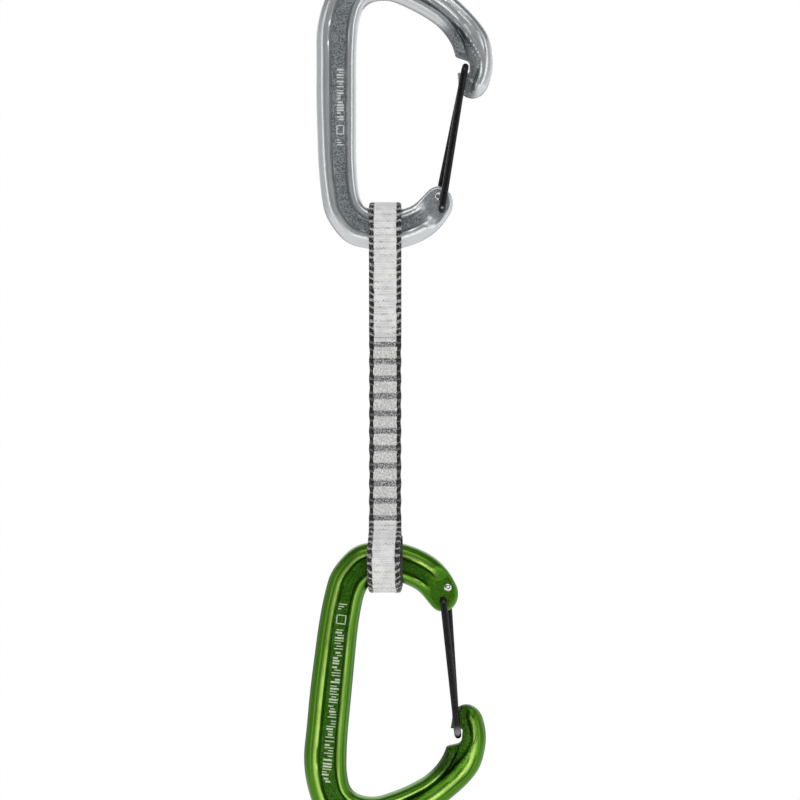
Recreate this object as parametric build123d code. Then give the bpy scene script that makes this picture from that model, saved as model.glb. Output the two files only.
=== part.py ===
from build123d import *
from math import acos, atan2, cos, hypot, pi, radians, sin, sqrt
import os

# Climbing quickdraw: two wire-gate carabiners joined by a sewn webbing sling.
# Units are millimetres.  The draw hangs along -Z from the bearing point of the upper
# carabiner's basket, which is the origin.  +X points from the spines to the gates and
# +Y is the thickness direction.  A carabiner is drawn hinge end up, with the top of its
# hinge bow at z = 0, and is then placed: the upper one is turned over about X, the lower
# one only leans a little towards its spine.

# Forged bar
BAR_T = 9.2             # thickness across its two faces
BAR_ROUND = 3.8         # rounding of its long edges
FLANGE_W = 3.1          # width of each flange beside the channel
WEB_HALF_T = 2.3        # half thickness of the bar's web, at the floor of the channel

# Outer outline of the bar, from the nose's crown round the back to the hinge tip:
# x, z and heading in degrees
BACK = [
    (27.0, -47.7, 0), (31.8, -51.2, -66), (33.5, -59.5, -92), (31.1, -68.9, -122),
    (23.6, -77.5, -137), (11.5, -86.2, -147), (-2.0, -91.0, 180), (-13.8, -86.7, 137),
    (-20.3, -74.5, 105), (-21.5, -54.0, 90.5), (-21.0, -32.0, 88), (-19.3, -14.6, 80),
    (-14.2, -4.9, 49), (-2.0, -0.5, 4), (11.0, -3.1, -25), (18.0, -8.7, -52), (20.9, -15.4, -94),
]
# Inner outline, from the hinge tip round the window to the nose's left side
WINDOW = [
    (16.4, -20.3, 180), (10.6, -16.3, 134), (3.0, -12.6, 168), (-4.8, -13.1, -154),
    (-8.2, -20.0, -96), (-8.8, -45.0, -90), (-8.3, -69.0, -85), (-3.4, -78.1, -14),
    (3.4, -77.7, 22), (14.0, -72.1, 34), (20.0, -65.6, 61), (22.2, -57.4, 85), (22.6, -52.4, 90),
]
BASKET_BEARING = 78.42  # depth of the window below the hinge bow's top, at x = 0

# Machined flats where the gate wire runs beside the bar
HINGE_HALF_T = 2.4
HINGE_FLAT_C = (18.8, -15.2)
HINGE_FLAT_R = 7.4
NOSE_HALF_T = 2.8
NOSE_FLAT_C = (22.0, -56.2)
NOSE_FLAT_R = 7.4
NOSE_SLOT_W = 6.4       # straight slot in the crown, for the legs
NOSE_SLOT_H = 10.0
NOSE_SLOT_C = (22.2, -51.0)
CHANNEL_MARGIN = 1.6    # the channel stops this far outside the flats

# Notch under the nose's hook
NOTCH = [(18.0, -55.9), (26.2, -54.9), (26.2, -59.6), (18.0, -62.3)]
NOTCH_R = 1.2

# Gate wire
WIRE_R = 1.05
LEG_Y = 4.2             # height of each leg's axis above the bar's middle plane
LEG_A = (17.5, -12.7)   # hinge hole of the leg on the +Y side
LEG_B = (16.5, -16.8)   # hinge hole of the leg on the -Y side
KNEE = (23.9, -53.0)    # where the legs bend towards the nose
TOE = (24.8, -57.2)     # centre of the cross bar that closes the loop
TOE_BEND_R = 2.4
PIN_PLAY = 0.03         # radial play of a wire end in its hole
PIN_PROUD = 0.4         # how far a wire end stands out of its hole, towards its leg
PEEN_R = 1.55           # radius of the peened head
PEEN_H = 0.45

# Places of the carabiners' own frames in the draw's frame
UPPER_Z = -BASKET_BEARING
LOWER_X = 2.95
LOWER_Z = UPPER_Z - 89.3
LOWER_LEAN = 5.4        # degrees towards the spine
BOW_MID = 6.5           # depth of the middle of the hinge bow's bar
LOWER_BAR_Z = UPPER_Z - 95.6

# Sling: one strip, folded into two loops with three plies between them
WEB_W = 10.0
WEB_T = 1.5
PLY_PITCH = 1.6
UPPER_LOOP_R = 7.25 + WEB_T / 2
LOWER_LOOP_R = 8.2 + WEB_T / 2
UPPER_BEND_R = 12.0
LOWER_BEND_R = 4.0
UPPER_BAR_Z = UPPER_Z + BOW_MID
SEAM_TOP_Z = UPPER_Z - 26.2
SEAM_END_Z = UPPER_Z - 83.3
TAIL_SHORT = 1.0        # the free ends stop this far inside the seam

# Bar tacks across the three plies
TACKS = 10
TACK_PITCH = 5.36
FIRST_TACK_Z = UPPER_Z - 31.5
TACK_W = 9.4
TACK_H = 3.7
TACK_PAD_T = 0.35
STITCH_R = 0.22
STITCHES = 5

# Rubber keeper inside the lower loop
KEEPER_IN_R = 7.0
KEEPER_OUT_R = 8.1
KEEPER_X0 = -3.3
KEEPER_X1 = 5.4

STAND = Rot(90, 0, 0)   # turns a drawing in XY into the XZ plane


def heading(angle):
    """Unit vector in the drawing plane."""
    return Vector(cos(radians(angle)), sin(radians(angle)))


def biarc(start, end):
    """Two tangent arcs from one (x, z, heading) station to the next."""
    p0, t0 = Vector(start[0], start[1]), heading(start[2])
    p1, t1 = Vector(end[0], end[1]), heading(end[2])
    chord = p1 - p0
    along = chord.dot(t0 + t1)
    turn = 2 * (1 - t0.dot(t1))
    if turn < 1e-9:
        reach = chord.length / 2
    else:
        reach = (sqrt(along * along + turn * chord.dot(chord)) - along) / turn
    middle = (p0 + t0 * reach + p1 - t1 * reach) * 0.5
    first = TangentArc(p0, middle, tangent=t0)
    second = TangentArc(middle, p1, tangent=first % 1)
    return [first, second]


def bar_outline():
    """Closed outline of the bar before the notch is cut, as a face in XY."""
    stations = BACK + WINDOW
    arcs = []
    for start, end in zip(stations, stations[1:] + stations[:1]):
        arcs += biarc(start, end)
    return make_face(arcs)


def disc_at(centre, radius):
    """Disc in the drawing plane."""
    return Pos(centre[0], centre[1]) * Circle(radius)


def nose_flat():
    """Outline of the flats beside the nose, as a face in XY."""
    slot = Pos(*NOSE_SLOT_C) * Rectangle(NOSE_SLOT_W, NOSE_SLOT_H)
    return disc_at(NOSE_FLAT_C, NOSE_FLAT_R) + slot


def channel_cut(outline):
    """Channels on both faces, clear of the flats."""
    floor = offset(outline, -FLANGE_W)
    floor -= disc_at(HINGE_FLAT_C, HINGE_FLAT_R + CHANNEL_MARGIN)
    floor -= disc_at(NOSE_FLAT_C, NOSE_FLAT_R + CHANNEL_MARGIN)
    floor = floor.faces().sort_by(SortBy.AREA)[-1]
    return both_faces(floor, WEB_HALF_T)


def both_faces(face, low):
    """Prisms above a face and, mirrored, below it, from low outwards past the bar."""
    reach = BAR_T
    upper = Pos(0, 0, low) * extrude(face, reach)
    lower = Pos(0, 0, -low - reach) * extrude(face, reach)
    return upper + lower


def carabiner_body():
    """Forged bar with channels, flats, notch and the two hinge holes."""
    outline = bar_outline()
    bar = extrude(outline, BAR_T / 2, both=True)
    rims = bar.edges().filter_by(lambda e: abs(abs(e.center().Z) - BAR_T / 2) < 1e-3)
    bar = fillet(rims, BAR_ROUND)
    bar -= channel_cut(outline)
    bar -= both_faces(disc_at(HINGE_FLAT_C, HINGE_FLAT_R), HINGE_HALF_T)
    bar -= both_faces(nose_flat(), NOSE_HALF_T)
    notch = FilletPolyline(*NOTCH, radius=NOTCH_R)
    notch_face = make_face([notch, Line(NOTCH[-1], NOTCH[0])])
    bar -= extrude(notch_face, BAR_T, both=True)
    for hole in (LEG_A, LEG_B):
        bar -= Pos(hole[0], hole[1]) * Cylinder(WIRE_R + PIN_PLAY, 2 * BAR_T)
    return STAND * bar


def rod(path_edge):
    """Round wire along one edge."""
    section = Plane(origin=path_edge @ 0, z_dir=path_edge % 0) * Circle(WIRE_R)
    return sweep(section, path=path_edge)


def toe_bend(side):
    """Arc from a leg into the cross bar, on the side of +Y (1) or -Y (-1)."""
    down = Vector(TOE[0] - KNEE[0], 0, TOE[1] - KNEE[1]).normalized()
    inward = Vector(0, -side, 0)
    centre = Vector(TOE[0], side * (LEG_Y - TOE_BEND_R), TOE[1]) - down * TOE_BEND_R
    start = centre - inward * TOE_BEND_R
    middle = centre + (down - inward) * (TOE_BEND_R / sqrt(2))
    return ThreePointArc(start, middle, centre + down * TOE_BEND_R)


def gate_wire():
    """The gate's loop: two legs, their elbows at the hinge and the cross bar at the nose."""
    bends = {1: toe_bend(1), -1: toe_bend(-1)}
    wire = rod(Line(bends[1] @ 1, bends[-1] @ 1))
    for side, hole in ((1, LEG_A), (-1, LEG_B)):
        elbow = Vector(hole[0], side * LEG_Y, hole[1])
        knee = Vector(KNEE[0], side * LEG_Y, KNEE[1])
        wire += rod(bends[side])
        wire += rod(Line(knee, bends[side] @ 0))
        wire += rod(Line(elbow, knee))
        wire += Pos(*knee) * Sphere(WIRE_R)
        wire += Pos(*elbow) * Sphere(WIRE_R)
    return wire


def gate_pin(hole, side):
    """End of one leg through the bar, peened over on the far face."""
    entry = side * (HINGE_HALF_T + PIN_PROUD)
    exit_face = -side * HINGE_HALF_T
    shank = Cylinder(WIRE_R, abs(entry - exit_face))
    shank = Pos(hole[0], (entry + exit_face) / 2, hole[1]) * Rot(90, 0, 0) * shank
    dome_r = (PEEN_R ** 2 + PEEN_H ** 2) / (2 * PEEN_H)
    dome = Pos(0, 0, PEEN_H - dome_r) * Sphere(dome_r)
    dome &= Pos(0, 0, PEEN_H / 2) * Cylinder(PEEN_R, PEEN_H)
    head = Pos(hole[0], exit_face, hole[1]) * Rot(90 * side, 0, 0) * dome
    return shank + head


def place_upper(shape):
    """Upper carabiner: turned over about X, its basket on the origin."""
    return Pos(0, 0, UPPER_Z) * Rot(180, 0, 0) * shape


def place_lower(shape):
    """Lower carabiner: hanging from the sling with a small lean."""
    return Pos(LOWER_X, 0, LOWER_Z) * Rot(0, LOWER_LEAN, 0) * shape


def turn_angle(offset_y, bend_r, loop_r, height):
    """Angle by which a ply leaves the seam to run tangent to its loop."""
    side = offset_y + bend_r
    return atan2(height, side) - acos((loop_r + bend_r) / hypot(side, height))


def yz(y, z):
    """Point in the sling's plane."""
    return Vector(0, y, z)


def half_loop(offset_y, side, seam_z, bar_z, bend_r, loop_r):
    """Edges from the seam's end to the far point of a loop, in the YZ plane.

    The ply leaves the seam at y = side * offset_y, bends outwards and runs tangent
    onto the circle about the bar.
    """
    away = 1 if bar_z > seam_z else -1
    angle = turn_angle(offset_y, bend_r, loop_r, abs(bar_z - seam_z))
    bend_c = yz(side * (offset_y + bend_r), seam_z)
    leave = yz(side * offset_y, seam_z)
    half = angle / 2
    bend_mid = bend_c + yz(-side * bend_r * cos(half), away * bend_r * sin(half))
    bend_end = bend_c + yz(-side * bend_r * cos(angle), away * bend_r * sin(angle))
    touch = yz(side * loop_r * cos(angle), bar_z - away * loop_r * sin(angle))
    lean = (pi / 2 - angle) / 2
    arc_mid = yz(side * loop_r * cos(lean), bar_z + away * loop_r * sin(lean))
    crown = yz(0, bar_z + away * loop_r)
    return [
        ThreePointArc(leave, bend_mid, bend_end),
        Line(bend_end, touch),
        ThreePointArc(touch, arc_mid, crown),
    ]


def sling_path():
    """Centre line of the strip, from its front tail round both loops to its hidden tail."""
    front = Line(yz(-PLY_PITCH, SEAM_TOP_Z - TAIL_SHORT), yz(-PLY_PITCH, SEAM_END_Z))
    back = Line(yz(PLY_PITCH, SEAM_END_Z), yz(PLY_PITCH, SEAM_TOP_Z))
    middle = Line(yz(0, SEAM_TOP_Z), yz(0, SEAM_END_Z + TAIL_SHORT))
    edges = [front]
    edges += half_loop(PLY_PITCH, -1, SEAM_END_Z, LOWER_BAR_Z, LOWER_BEND_R, LOWER_LOOP_R)
    edges += half_loop(PLY_PITCH, 1, SEAM_END_Z, LOWER_BAR_Z, LOWER_BEND_R, LOWER_LOOP_R)
    edges.append(back)
    edges += half_loop(PLY_PITCH, 1, SEAM_TOP_Z, UPPER_BAR_Z, UPPER_BEND_R, UPPER_LOOP_R)
    edges += half_loop(0, -1, SEAM_TOP_Z, UPPER_BAR_Z, UPPER_BEND_R, UPPER_LOOP_R)
    edges.append(middle)
    return Wire(edges)


def webbing_strip():
    """The whole strip as one sweep of its flat section."""
    path = sling_path()
    print("strip length", round(path.length, 1))
    start = Plane(origin=yz(-PLY_PITCH, SEAM_TOP_Z - TAIL_SHORT), x_dir=(1, 0, 0), z_dir=(0, 0, -1))
    return sweep(start * Rectangle(WEB_W, WEB_T), path=path)


def bartack(number):
    """Thread pad on both faces of the seam, with stitches through the plies."""
    face_y = PLY_PITCH + WEB_T / 2
    centre_z = FIRST_TACK_Z - number * TACK_PITCH
    pad = Box(TACK_W, TACK_PAD_T, TACK_H)
    pad = fillet(pad.edges().filter_by(Axis.Y), TACK_H / 4)
    tack = Pos(0, face_y + TACK_PAD_T / 2, 0) * pad
    tack += Pos(0, -face_y - TACK_PAD_T / 2, 0) * pad
    for column in range(STITCHES):
        x = (column / (STITCHES - 1) - 0.5) * (TACK_W - TACK_H / 2)
        z = TACK_H / 4 * (1 if column % 2 else -1)
        tack += Pos(x, 0, z) * Rot(90, 0, 0) * Cylinder(STITCH_R, 2 * face_y + TACK_PAD_T)
    return Pos(0, 0, centre_z) * tack


def rubber_keeper():
    """Band around the lower bar, inside the lower loop."""
    ring = Circle(KEEPER_OUT_R) - Circle(KEEPER_IN_R)
    band = extrude(ring, KEEPER_X1 - KEEPER_X0)
    return Pos(KEEPER_X0, 0, LOWER_BAR_Z) * Rot(0, 90, 0) * band


def main():
    """Writes one STEP file for each node."""
    os.makedirs("parts", exist_ok=True)
    body = carabiner_body()
    wire = gate_wire()
    pin_a = gate_pin(LEG_A, 1)
    pin_b = gate_pin(LEG_B, -1)
    for name, place in (("upper", place_upper), ("lower", place_lower)):
        export_step(place(body), f"parts/{name}_carabiner_body.step")
        export_step(place(wire), f"parts/{name}_gate_wire.step")
        export_step(place(pin_a), f"parts/{name}_gate_hinge_end_a.step")
        export_step(place(pin_b), f"parts/{name}_gate_hinge_end_b.step")
    export_step(webbing_strip(), "parts/sling_webbing.step")
    for number in range(TACKS):
        export_step(bartack(number), f"parts/bartack_{number + 1:02d}.step")
    export_step(rubber_keeper(), "parts/rubber_keeper.step")


main()
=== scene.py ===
"""Looks of a climbing quickdraw: two wire-gate carabiners joined by a sewn webbing sling."""

import logging
import math
import random
from dataclasses import dataclass, field
from enum import Enum
from typing import Callable, Sequence

import bmesh
import bpy
import numpy as np
from mathutils import Matrix, Vector


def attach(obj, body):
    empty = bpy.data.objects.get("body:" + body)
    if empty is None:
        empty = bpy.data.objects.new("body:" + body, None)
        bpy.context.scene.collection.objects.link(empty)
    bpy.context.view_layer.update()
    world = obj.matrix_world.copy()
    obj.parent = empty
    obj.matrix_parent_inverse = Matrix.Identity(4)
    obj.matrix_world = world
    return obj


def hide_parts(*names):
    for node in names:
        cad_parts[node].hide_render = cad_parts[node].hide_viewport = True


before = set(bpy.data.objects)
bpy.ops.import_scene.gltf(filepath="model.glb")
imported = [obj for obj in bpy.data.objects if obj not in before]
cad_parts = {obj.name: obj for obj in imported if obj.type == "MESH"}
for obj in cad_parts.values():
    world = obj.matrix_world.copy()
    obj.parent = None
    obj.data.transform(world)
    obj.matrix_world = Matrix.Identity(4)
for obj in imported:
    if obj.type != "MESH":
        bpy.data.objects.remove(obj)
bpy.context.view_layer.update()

LOG = logging.getLogger("quickdraw")
MM = 0.001
UPPER_Z = -78.42
WELD = 2e-6
STRAIGHT = 1e-9

Station = tuple[float, float, float]
Point = tuple[float, float, float]
Colour = tuple[float, float, float]


# ---------------------------------------------------------------- curves and mesh helpers


def smooth_step(low: float, high: float, value: np.ndarray) -> np.ndarray:
    """Rises from 0 at low to 1 at high with level ends."""
    share = np.clip((value - low) / (high - low), 0.0, 1.0)
    return share * share * (3.0 - 2.0 * share)


def unit(angle_deg: float) -> np.ndarray:
    """Unit vector at an angle in degrees."""
    angle = math.radians(angle_deg)
    return np.array([math.cos(angle), math.sin(angle)])


def arc_points(start: np.ndarray, tangent: np.ndarray, end: np.ndarray, spacing: float) -> np.ndarray:
    """Points of the arc that leaves start along tangent and reaches end.

    Args:
        start: First point.
        tangent: Unit direction at the first point.
        end: Last point.
        spacing: Largest distance between points.

    Returns:
        Points from start up to, but without, end.
    """
    chord = end - start
    length = float(np.linalg.norm(chord))
    count = max(2, math.ceil(length / spacing))
    side = np.array([-tangent[1], tangent[0]])
    rise = float(chord @ side)
    if abs(rise) < STRAIGHT:
        return start + np.outer(np.arange(count) / count, chord)
    radius = length * length / (2.0 * rise)
    centre = start + side * radius
    first = math.atan2(start[1] - centre[1], start[0] - centre[0])
    sweep = 2.0 * math.asin(max(-1.0, min(1.0, length / (2.0 * radius))))
    angles = first + sweep * np.arange(count) / count
    return centre + abs(radius) * np.column_stack([np.cos(angles), np.sin(angles)])


def biarc_points(start: Station, end: Station, spacing: float) -> np.ndarray:
    """Points of the two tangent arcs that join one station to the next.

    Args:
        start: x, z and heading in degrees.
        end: x, z and heading in degrees.
        spacing: Largest distance between points.

    Returns:
        Points from start up to, but without, end.
    """
    p0, t0 = np.array(start[:2]), unit(start[2])
    p1, t1 = np.array(end[:2]), unit(end[2])
    chord = p1 - p0
    along = float(chord @ (t0 + t1))
    turn = 2.0 * (1.0 - float(t0 @ t1))
    if turn < STRAIGHT:
        reach = float(np.linalg.norm(chord)) / 2.0
    else:
        reach = (math.sqrt(along * along + turn * float(chord @ chord)) - along) / turn
    middle = (p0 + t0 * reach + p1 - t1 * reach) / 2.0
    first = (middle - p0) / np.linalg.norm(middle - p0)
    t_middle = 2.0 * float(t0 @ first) * first - t0
    return np.vstack([arc_points(p0, t0, middle, spacing), arc_points(middle, t_middle, p1, spacing)])


def station_line(stations: Sequence[Station], spacing: float) -> np.ndarray:
    """Points along a run of stations, the last one included."""
    parts = [biarc_points(a, b, spacing) for a, b in zip(stations, stations[1:])]
    return np.vstack(parts + [np.array([stations[-1][:2]])])


def evened(line: np.ndarray, count: int) -> np.ndarray:
    """The same line with its points at equal distances.

    Args:
        line: Points of the line.
        count: Number of points wanted.

    Returns:
        The evened points.
    """
    steps = np.linalg.norm(np.diff(line, axis=0), axis=1)
    run = np.concatenate([[0.0], np.cumsum(steps)])
    wanted = np.linspace(0.0, run[-1], count)
    return np.column_stack([np.interp(wanted, run, line[:, k]) for k in range(line.shape[1])])


def rounded_route(corners: Sequence[Point], radii: Sequence[float], spacing: float) -> np.ndarray:
    """Line through corners, with each inner corner rounded to its radius.

    Args:
        corners: Corner points.
        radii: One radius for each inner corner.
        spacing: Largest distance between points.

    Returns:
        Points along the line.
    """
    route = [Vector(corners[0])]
    for before, corner, after, radius in zip(corners, corners[1:], corners[2:], radii):
        corner = Vector(corner)
        back = (Vector(before) - corner).normalized()
        ahead = (Vector(after) - corner).normalized()
        half = back.angle(ahead) / 2.0
        middle_way = (back + ahead).normalized()
        centre = corner + middle_way * (radius / math.sin(half))
        start = corner + back * (radius / math.tan(half))
        end = corner + ahead * (radius / math.tan(half))
        turn = math.pi - 2.0 * half
        count = max(3, math.ceil(radius * turn / spacing))
        for k in range(count + 1):
            spoke = (start - centre).normalized().slerp((end - centre).normalized(), k / count)
            route.append(centre + spoke * radius)
    route.append(Vector(corners[-1]))
    filled = [route[0]]
    for a, b in zip(route, route[1:]):
        count = max(1, math.ceil((b - a).length / (4.0 * spacing)))
        filled += [a.lerp(b, k / count) for k in range(1, count + 1)]
    return np.array([tuple(p) for p in filled])


def distance_to(line: np.ndarray, points: np.ndarray) -> np.ndarray:
    """Distance from each point to the nearest point of a dense line.

    Args:
        line: Points of the line.
        points: Points to measure from, taken a block at a time to save memory.

    Returns:
        One distance for each point.
    """
    block_size = 4000
    found = np.empty(len(points))
    for first in range(0, len(points), block_size):
        block = points[first:first + block_size]
        gap = block[:, None, :] - line[None, :, :]
        found[first:first + block_size] = np.sqrt((gap ** 2).sum(axis=2).min(axis=1))
    return found


def coordinates(mesh: bpy.types.Mesh) -> np.ndarray:
    """Places of the mesh's points, one row each, in metres.

    Args:
        mesh: The mesh to read.

    Returns:
        One row of x, y and z for each point.
    """
    flat = np.empty(len(mesh.vertices) * 3)
    mesh.vertices.foreach_get("co", flat)
    return flat.reshape(-1, 3)


def store(mesh: bpy.types.Mesh, **layers: np.ndarray) -> None:
    """Stores one number per point under each name.

    Args:
        mesh: The mesh that takes the numbers.
        layers: The numbers of each named attribute.
    """
    for name, values in layers.items():
        layer = mesh.attributes.new(name, "FLOAT", "POINT")
        layer.data.foreach_set("value", values.astype(np.float32))


def sort_by(items: bmesh.types.BMElemSeq, key: Callable) -> None:
    """Sorts a bmesh's points, edges or faces.

    Args:
        items: The elements to sort.
        key: Gives a tuple or list for one element, different for each.
    """
    items.index_update()
    rank = {item.index: place for place, item in enumerate(sorted(items, key=key))}
    items.sort(key=lambda item: rank[item.index])
    items.index_update()


def in_order(bm: bmesh.types.BMesh) -> None:
    """Orders a shape by place, because cuts and fills leave a different order each run.

    Args:
        bm: The shape, whose points all lie apart.
    """
    sort_by(bm.verts, lambda vert: vert.co[:])
    sort_by(bm.edges, lambda edge: sorted(vert.index for vert in edge.verts))
    sort_by(bm.faces, lambda face: sorted(vert.index for vert in face.verts))


def finished(bm: bmesh.types.BMesh, name: str) -> bpy.types.Mesh:
    """Turns a bmesh into a new mesh and frees it.

    Args:
        bm: The shape, which is used up.
        name: Name of the mesh.

    Returns:
        The new mesh.
    """
    mesh = bpy.data.meshes.new(name)
    bm.to_mesh(mesh)
    bm.free()
    return mesh


def wrapped_grid(
    name: str,
    around: int,
    along: int,
    place: Callable[[np.ndarray, np.ndarray], np.ndarray],
    pattern: Callable[[np.ndarray, np.ndarray], np.ndarray] | None = None,
    capped: bool = False,
) -> bpy.types.Mesh:
    """A flat grid wrapped onto a surface and welded along its seams.

    Args:
        name: Name of the mesh.
        around: Number of steps across the grid.
        along: Number of steps along the grid.
        place: Gives the positions in millimetres for step numbers across and along.
        pattern: Gives the pattern coordinates in millimetres for the same numbers.
        capped: Whether the two open ends are filled.

    Returns:
        The welded mesh in metres, with its faces outwards.
    """
    bm = bmesh.new()
    bmesh.ops.create_grid(bm, x_segments=around, y_segments=along, size=1.0)
    mesh = finished(bm, name)
    flat = coordinates(mesh)
    i = np.rint((flat[:, 0] + 1.0) / 2.0 * around).astype(int)
    j = np.rint((flat[:, 1] + 1.0) / 2.0 * along).astype(int)
    mesh.vertices.foreach_set("co", (place(i, j) * MM).ravel())
    if pattern is not None:
        corner = np.empty(len(mesh.loops), int)
        mesh.loops.foreach_get("vertex_index", corner)
        layer = mesh.uv_layers.new(name="weave")
        layer.data.foreach_set("uv", pattern(i, j)[corner].ravel())
    bm = bmesh.new()
    bm.from_mesh(mesh)
    bmesh.ops.remove_doubles(bm, verts=bm.verts, dist=WELD)
    if capped:
        open_edges = [e for e in bm.edges if e.is_boundary]
        bmesh.ops.holes_fill(bm, edges=open_edges, sides=0)
    bmesh.ops.recalc_face_normals(bm, faces=bm.faces)
    bm.to_mesh(mesh)
    bm.free()
    return mesh


def tube(name: str, route: np.ndarray, radius: float, sides: int) -> bpy.types.Mesh:
    """Round tube along a route, closed at both ends.

    Args:
        name: Name of the mesh.
        route: Points of the centre line in millimetres.
        radius: Radius in millimetres.
        sides: Number of sides of the section.

    Returns:
        The tube's mesh.
    """
    ahead = np.gradient(route, axis=0)
    ahead /= np.linalg.norm(ahead, axis=1)[:, None]
    side = np.empty_like(route)
    start = np.cross(ahead[0], [0.31, 0.22, 0.93])
    side[0] = start / np.linalg.norm(start)
    for k in range(1, len(route)):
        carried = side[k - 1] - ahead[k] * (side[k - 1] @ ahead[k])
        side[k] = carried / np.linalg.norm(carried)
    other = np.cross(ahead, side)

    def place(i: np.ndarray, j: np.ndarray) -> np.ndarray:
        """Points around the section at each point of the route."""
        angle = (2.0 * math.pi * i / sides)[:, None]
        return route[j] + radius * (np.cos(angle) * side[j] + np.sin(angle) * other[j])

    return wrapped_grid(name, sides, len(route) - 1, place, capped=True)


def shown(mesh: bpy.types.Mesh, material: bpy.types.Material, smooth_deg: float = 40.0) -> bpy.types.Object:
    """Links a mesh as a smooth-shaded object with one material.

    Args:
        mesh: The finished mesh, in place.
        material: Its finish.
        smooth_deg: Edges that turn more than this stay crisp.

    Returns:
        The new object.
    """
    mesh.materials.clear()
    mesh.materials.append(material)
    mesh.shade_smooth()
    mesh.set_sharp_from_angle(angle=math.radians(smooth_deg))
    piece = bpy.data.objects.new(mesh.name, mesh)
    bpy.context.scene.collection.objects.link(piece)
    return piece


def joined(name: str, meshes: Sequence[bpy.types.Mesh]) -> bpy.types.Mesh:
    """One mesh that holds several, which are then removed.

    Args:
        name: Name of the whole mesh.
        meshes: The meshes to join.

    Returns:
        The whole mesh.
    """
    bm = bmesh.new()
    for mesh in meshes:
        bm.from_mesh(mesh)
        bpy.data.meshes.remove(mesh)
    return finished(bm, name)


def report(piece: bpy.types.Object) -> None:
    """Logs a finished piece with its number of triangles."""
    triangles = sum(len(p.vertices) - 2 for p in piece.data.polygons)
    LOG.info("%s: %d triangles", piece.name, triangles)


# ---------------------------------------------------------------- finishes


class Shading:
    """Node tree of one material, with short calls to add to it."""

    def __init__(self, name: str) -> None:
        """Starts a material that holds one principled shader.

        Args:
            name: Name of the material.
        """
        self.material = bpy.data.materials.new(name)
        self.material.use_nodes = True
        self.tree = self.material.node_tree
        self.tree.nodes.clear()
        self.out = self.tree.nodes.new("ShaderNodeOutputMaterial")
        self.shader = self.tree.nodes.new("ShaderNodeBsdfPrincipled")
        self.tree.links.new(self.shader.outputs["BSDF"], self.out.inputs["Surface"])

    def feed(self, node: bpy.types.Node, values: dict) -> None:
        """Sets or links the sockets of a node.

        Args:
            node: The node to feed.
            values: A number, colour or socket for each input, by name or number.
        """
        for key, value in values.items():
            if isinstance(value, bpy.types.NodeSocket):
                self.tree.links.new(value, node.inputs[key])
            elif isinstance(value, tuple) and len(value) == 3 and node.inputs[key].type == "RGBA":
                node.inputs[key].default_value = (*value, 1.0)
            else:
                node.inputs[key].default_value = value

    def add(self, kind: str, values: dict | None = None, **choices: object) -> bpy.types.Node:
        """Adds a node.

        Args:
            kind: The node's type, without its prefix.
            values: What its inputs are fed with.
            choices: Its own settings.

        Returns:
            The new node.
        """
        node = self.tree.nodes.new("ShaderNode" + kind)
        for key, value in choices.items():
            setattr(node, key, value)
        self.feed(node, values or {})
        return node

    def maths(self, operation: str, *values: object) -> bpy.types.NodeSocket:
        """Result of one math operation on numbers or sockets."""
        node = self.add("Math", dict(enumerate(values)), operation=operation)
        return node.outputs[0]

    def blend(self, share: object, low: object, high: object) -> bpy.types.NodeSocket:
        """Colour between low and high."""
        node = self.add("Mix", {0: share, 6: low, 7: high}, data_type="RGBA")
        return node.outputs[2]

    def band(
        self, value: object, low: float, high: float, to_low: float, to_high: float,
    ) -> bpy.types.NodeSocket:
        """Maps a value from one range to another and holds it at the ends."""
        node = self.add("MapRange", {0: value, 1: low, 2: high, 3: to_low, 4: to_high})
        return node.outputs[0]

    def place(self) -> bpy.types.NodeSocket:
        """Object coordinates."""
        return self.add("TexCoord").outputs["Object"]

    def noise(self, vector: object, scale: float, detail: float = 2.0) -> bpy.types.NodeSocket:
        """Grey noise at a scale per metre."""
        node = self.add("TexNoise", {"Vector": vector, "Scale": scale, "Detail": detail})
        return node.outputs[0]

    def attribute(self, name: str) -> bpy.types.NodeSocket:
        """A number stored on the mesh."""
        return self.add("Attribute", attribute_name=name).outputs["Fac"]

    def relief(self, height: object, depth: float, strength: float) -> bpy.types.NodeSocket:
        """Normal bent by a height, with depth in metres."""
        node = self.add("Bump", {"Height": height, "Distance": depth, "Strength": strength})
        return node.outputs[0]


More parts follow.
